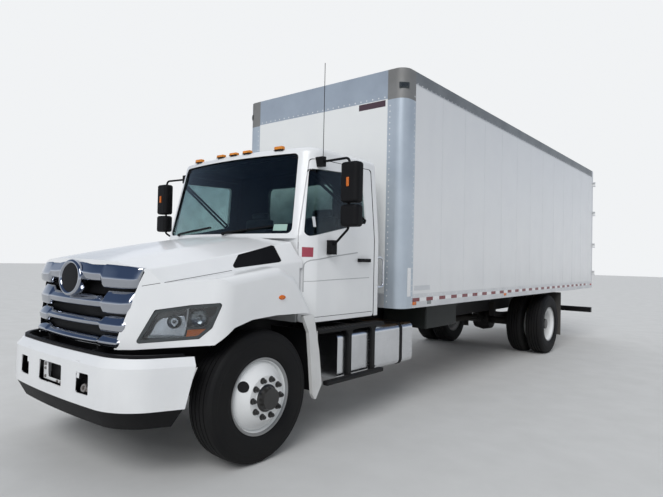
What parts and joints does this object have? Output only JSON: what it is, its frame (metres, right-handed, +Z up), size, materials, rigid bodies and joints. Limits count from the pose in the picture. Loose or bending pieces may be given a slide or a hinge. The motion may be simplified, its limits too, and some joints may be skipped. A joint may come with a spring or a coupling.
{
  "type": "box truck",
  "caption": "Bonneted day-cab box truck with a long white van body, twin rear wheels, tilting hood, swinging cab and rear doors and steered front wheels.",
  "frame": {"origin": "on the ground under the middle of the truck's overall length and width, at the centre of its bounding box's bottom face", "axes": "+Y towards the rear along the truck, +X towards the truck's left side, +Z up"},
  "size_m": [2.986, 10.9698, 3.64],
  "materials": {
    "frame_black": "semi-gloss black chassis paint",
    "cast_dark": "painted forging",
    "cab_white": "glossy white paint",
    "hood_white": "glossy white paint",
    "bumper_white": "glossy white paint",
    "box_white": "white prepainted sheet with rivets",
    "polished_aluminium": "polished",
    "mill_aluminium": "mill finish",
    "cast_grey": "sand cast",
    "chrome": "mirror chrome",
    "glass_tint": "tinted glass",
    "lamp": "clear lens over chrome reflectors",
    "amber": "amber lens",
    "red_lens": "red lens",
    "black_plastic": "textured black plastic",
    "trim_grey": "dashboard plastic",
    "seat_fabric": "woven seat cloth",
    "rubber": "black rubber",
    "tyre": "black tyre rubber",
    "wheel_white": "white wheel paint",
    "wood_floor": "oiled hardwood floor",
    "aluminised": "heat stained steel"
  },
  "bodies": {
    "chassis": {"frame_rails": "frame_black", "front_axle": "cast_dark", "rear_axle": "cast_dark", "leaf_springs": "cast_dark", "engine": "cast_dark", "radiator": "frame_black", "driveline": "cast_dark", "exhaust_unit": "aluminised", "fuel_tank": "polished_aluminium", "battery_box": "trim_grey", "tank_straps": "black_plastic", "cab_steps": "frame_black", "bumper": "bumper_white", "bumper_skirt": "black_plastic", "cab_shell": "cab_white", "cab_glass": "glass_tint", "dashboard": "trim_grey", "seats": "seat_fabric", "seat_bases": "black_plastic", "steering_wheel": "black_plastic", "roof_lights": "amber", "wipers": "black_plastic", "splash_guards": "cab_white", "box_floor": "wood_floor", "box_front_wall": "box_white", "box_side_walls": "box_white", "box_roof": "mill_aluminium", "corner_posts": "polished_aluminium", "corner_caps": "cast_grey", "box_rails": "mill_aluminium", "rear_frame": "mill_aluminium", "underride_guard": "frame_black", "mudflaps": "rubber", "tail_lights": "red_lens"},
    "hood": {"hood": "hood_white", "grille": "chrome", "headlights": "lamp", "hood_vents": "black_plastic"},
    "door_left": {"door_left": "cab_white", "door_glass_left": "glass_tint", "mirror_left": "black_plastic"},
    "door_right": {"door_right": "cab_white", "door_glass_right": "glass_tint", "mirror_right": "black_plastic"},
    "rear_door_left": {"rear_door_left": "box_white"},
    "rear_door_right": {"rear_door_right": "box_white"},
    "knuckle_left": {"knuckle_left": "cast_dark"},
    "knuckle_right": {"knuckle_right": "cast_dark"},
    "front_wheel_left": {"wheel_front_left": "wheel_white", "tyre_front_left": "tyre"},
    "front_wheel_right": {"wheel_front_right": "wheel_white", "tyre_front_right": "tyre"},
    "rear_wheels_left": {"wheels_rear_left": "wheel_white", "tyres_rear_left": "tyre"},
    "rear_wheels_right": {"wheels_rear_right": "wheel_white", "tyres_rear_right": "tyre"}
  },
  "joints": [
    {"name": "hood_tilt", "type": "hinge", "parent": "chassis", "child": "hood", "pos_m": [0, -5.355, 0.88], "axis": [1, 0, 0], "range_deg": [0, 60]},
    {"name": "door_left_swing", "type": "hinge", "parent": "chassis", "child": "door_left", "pos_m": [1, -3.761, 1.5], "axis": [0, 0, -1], "range_deg": [0, 70]},
    {"name": "door_right_swing", "type": "hinge", "parent": "chassis", "child": "door_right", "pos_m": [-1, -3.761, 1.5], "axis": [0, 0, 1], "range_deg": [0, 70]},
    {"name": "rear_door_left_swing", "type": "hinge", "parent": "chassis", "child": "rear_door_left", "pos_m": [1.251, 5.473, 2.3], "axis": [0, 0, -1], "range_deg": [0, 270]},
    {"name": "rear_door_right_swing", "type": "hinge", "parent": "chassis", "child": "rear_door_right", "pos_m": [-1.251, 5.473, 2.3], "axis": [0, 0, 1], "range_deg": [0, 270]},
    {"name": "steer_left", "type": "hinge", "parent": "chassis", "child": "knuckle_left", "pos_m": [0.905, -4.395, 0.512], "axis": [0, 0, 1], "range_deg": [-38, 38]},
    {"name": "steer_right", "type": "hinge", "parent": "chassis", "child": "knuckle_right", "pos_m": [-0.905, -4.395, 0.512], "axis": [0, 0, 1], "range_deg": [-38, 38]},
    {"name": "front_wheel_left_spin", "type": "hinge", "parent": "knuckle_left", "child": "front_wheel_left", "pos_m": [1.03, -4.395, 0.512], "axis": [1, 0, 0], "continuous": true},
    {"name": "front_wheel_right_spin", "type": "hinge", "parent": "knuckle_right", "child": "front_wheel_right", "pos_m": [-1.03, -4.395, 0.512], "axis": [1, 0, 0], "continuous": true},
    {"name": "rear_wheels_left_spin", "type": "hinge", "parent": "chassis", "child": "rear_wheels_left", "pos_m": [0.914, 2.505, 0.512], "axis": [1, 0, 0], "continuous": true},
    {"name": "rear_wheels_right_spin", "type": "hinge", "parent": "chassis", "child": "rear_wheels_right", "pos_m": [-0.914, 2.505, 0.512], "axis": [1, 0, 0], "continuous": true}
  ],
  "couplings": [
    {"joint": "steer_right", "follows": "steer_left", "ratio": 1}
  ]
}
